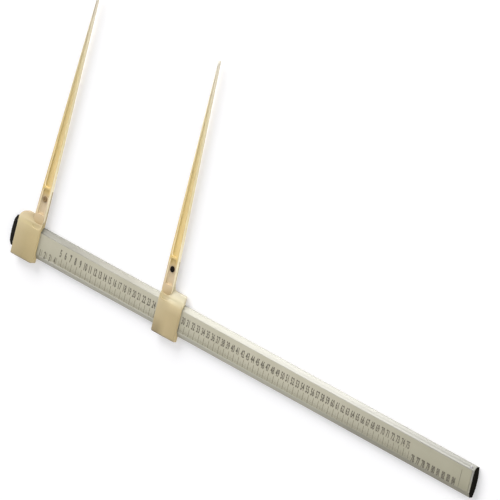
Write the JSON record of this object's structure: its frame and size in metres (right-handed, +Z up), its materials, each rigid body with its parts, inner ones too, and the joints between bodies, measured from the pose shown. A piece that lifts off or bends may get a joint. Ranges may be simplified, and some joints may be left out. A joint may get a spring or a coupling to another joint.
{
  "type": "infant measuring rod",
  "caption": "Flat rod with a centimetre scale, a head fixed at its zero end and a sliding carriage, each with a long tapered arm, for reading an infant's length between the arms.",
  "frame": {"origin": "centre of the footprint of the part as it lies on its back with the carriage at rest, at the level of the surface it lies on", "axes": "+X along the rod from the zero end to the far end, +Y from the rod along the arms, +Z up out of the scale"},
  "size_m": [0.93, 0.359, 0.0109],
  "materials": {
    "rod_metal": "satin anodised",
    "scale_print": "satin grey-olive strip with a dark printed scale",
    "black_cap": "black moulded",
    "dark_metal": "blackened",
    "cream_plastic": "cream moulded, fine satin",
    "plain_steel": "bright zinc",
    "glide_plastic": "white, slippery",
    "shoe_plastic": "black moulded",
    "pad_felt": "black felt"
  },
  "bodies": {
    "rod": {"rod_profile": "rod_metal", "scale_strip": "scale_print", "left_end_cap": "black_cap", "right_end_cap": "black_cap", "stop_peg": "dark_metal", "head_collar": "cream_plastic", "head_arm": "cream_plastic", "head_arm_screw": "dark_metal", "head_arm_washer": "plain_steel", "head_arm_nut": "plain_steel", "head_fixing_screws": "plain_steel"},
    "carriage": {"carriage_collar": "cream_plastic", "carriage_arm": "cream_plastic", "carriage_arm_screw": "dark_metal", "carriage_arm_washer": "plain_steel", "carriage_arm_nut": "plain_steel", "upper_glide": "glide_plastic", "brake_shoe": "shoe_plastic", "brake_spring": "plain_steel", "back_pads": "pad_felt"}
  },
  "joints": [
    {"name": "carriage_slide", "type": "slide", "parent": "rod", "child": "carriage", "axis": [1, 0, 0], "range_m": [-0.2427, 0.5735]}
  ]
}
